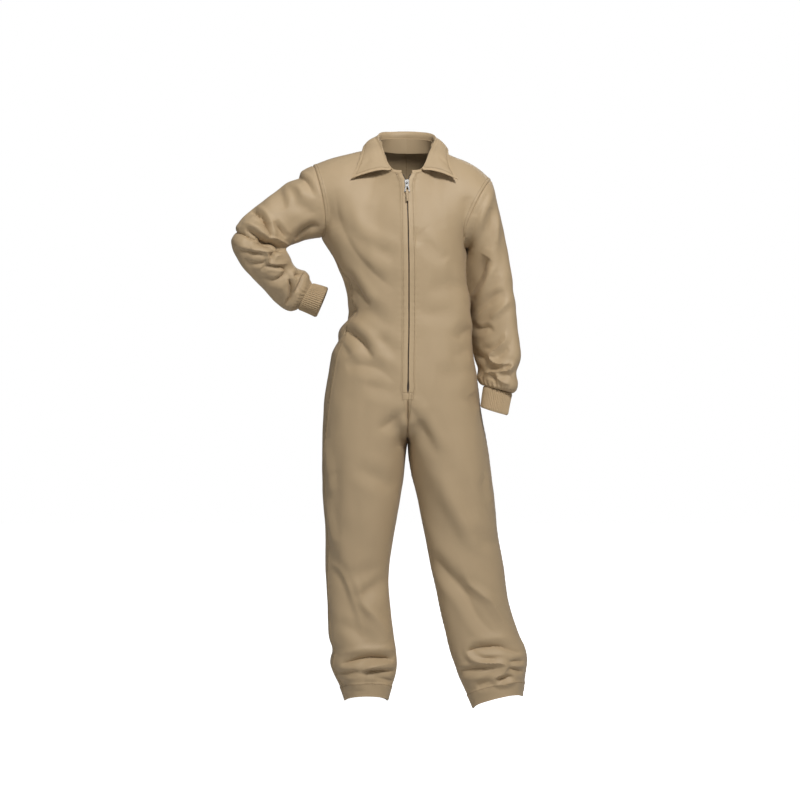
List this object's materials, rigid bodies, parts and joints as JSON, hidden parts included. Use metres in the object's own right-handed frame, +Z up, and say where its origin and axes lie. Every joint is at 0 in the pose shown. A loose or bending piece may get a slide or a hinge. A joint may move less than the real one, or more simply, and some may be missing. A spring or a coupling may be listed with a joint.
{
  "type": "boiler suit",
  "caption": "Child's long-sleeved boiler suit with a pointed collar, front zip, rib cuffs and straight legs, hollow as worn with one hand on the hip",
  "frame": {"origin": "Between the shoulders, on the line of the two shoulder points, where a wearer or a form carries the suit", "axes": "+Z up the body, the front faces -Y, the wearer's left is +X"},
  "size_m": [0.5588, 0.2224, 1.1015],
  "materials": {
    "twill": "matt cotton twill, khaki",
    "rib_knit": "matt rib knit, khaki",
    "zip_tape": "woven tape",
    "zip_coil": "dark coil",
    "nickel": "polished nickel"
  },
  "bodies": {
    "suit": {"front_right": "twill", "front_left": "twill", "back_right": "twill", "back_left": "twill", "sleeve_right": "twill", "sleeve_left": "twill", "cuff_right": "rib_knit", "cuff_left": "rib_knit", "collar_stand": "twill", "collar_fall": "twill", "zip_tape_right": "zip_tape", "zip_tape_left": "zip_tape", "zip_coil_closed": "zip_coil", "zip_coil_right": "zip_coil", "zip_coil_left": "zip_coil", "zip_slider": "nickel"},
    "pull": {"zip_pull": "nickel", "zip_pull_tab": "twill"}
  },
  "joints": [
    {"name": "zip_pull_hinge", "type": "hinge", "parent": "suit", "child": "pull", "pos_m": [0.00529, -0.08256, -0.0676], "axis": [-0.9995, -0.0115, -0.0306], "range_deg": [0, 150]}
  ]
}
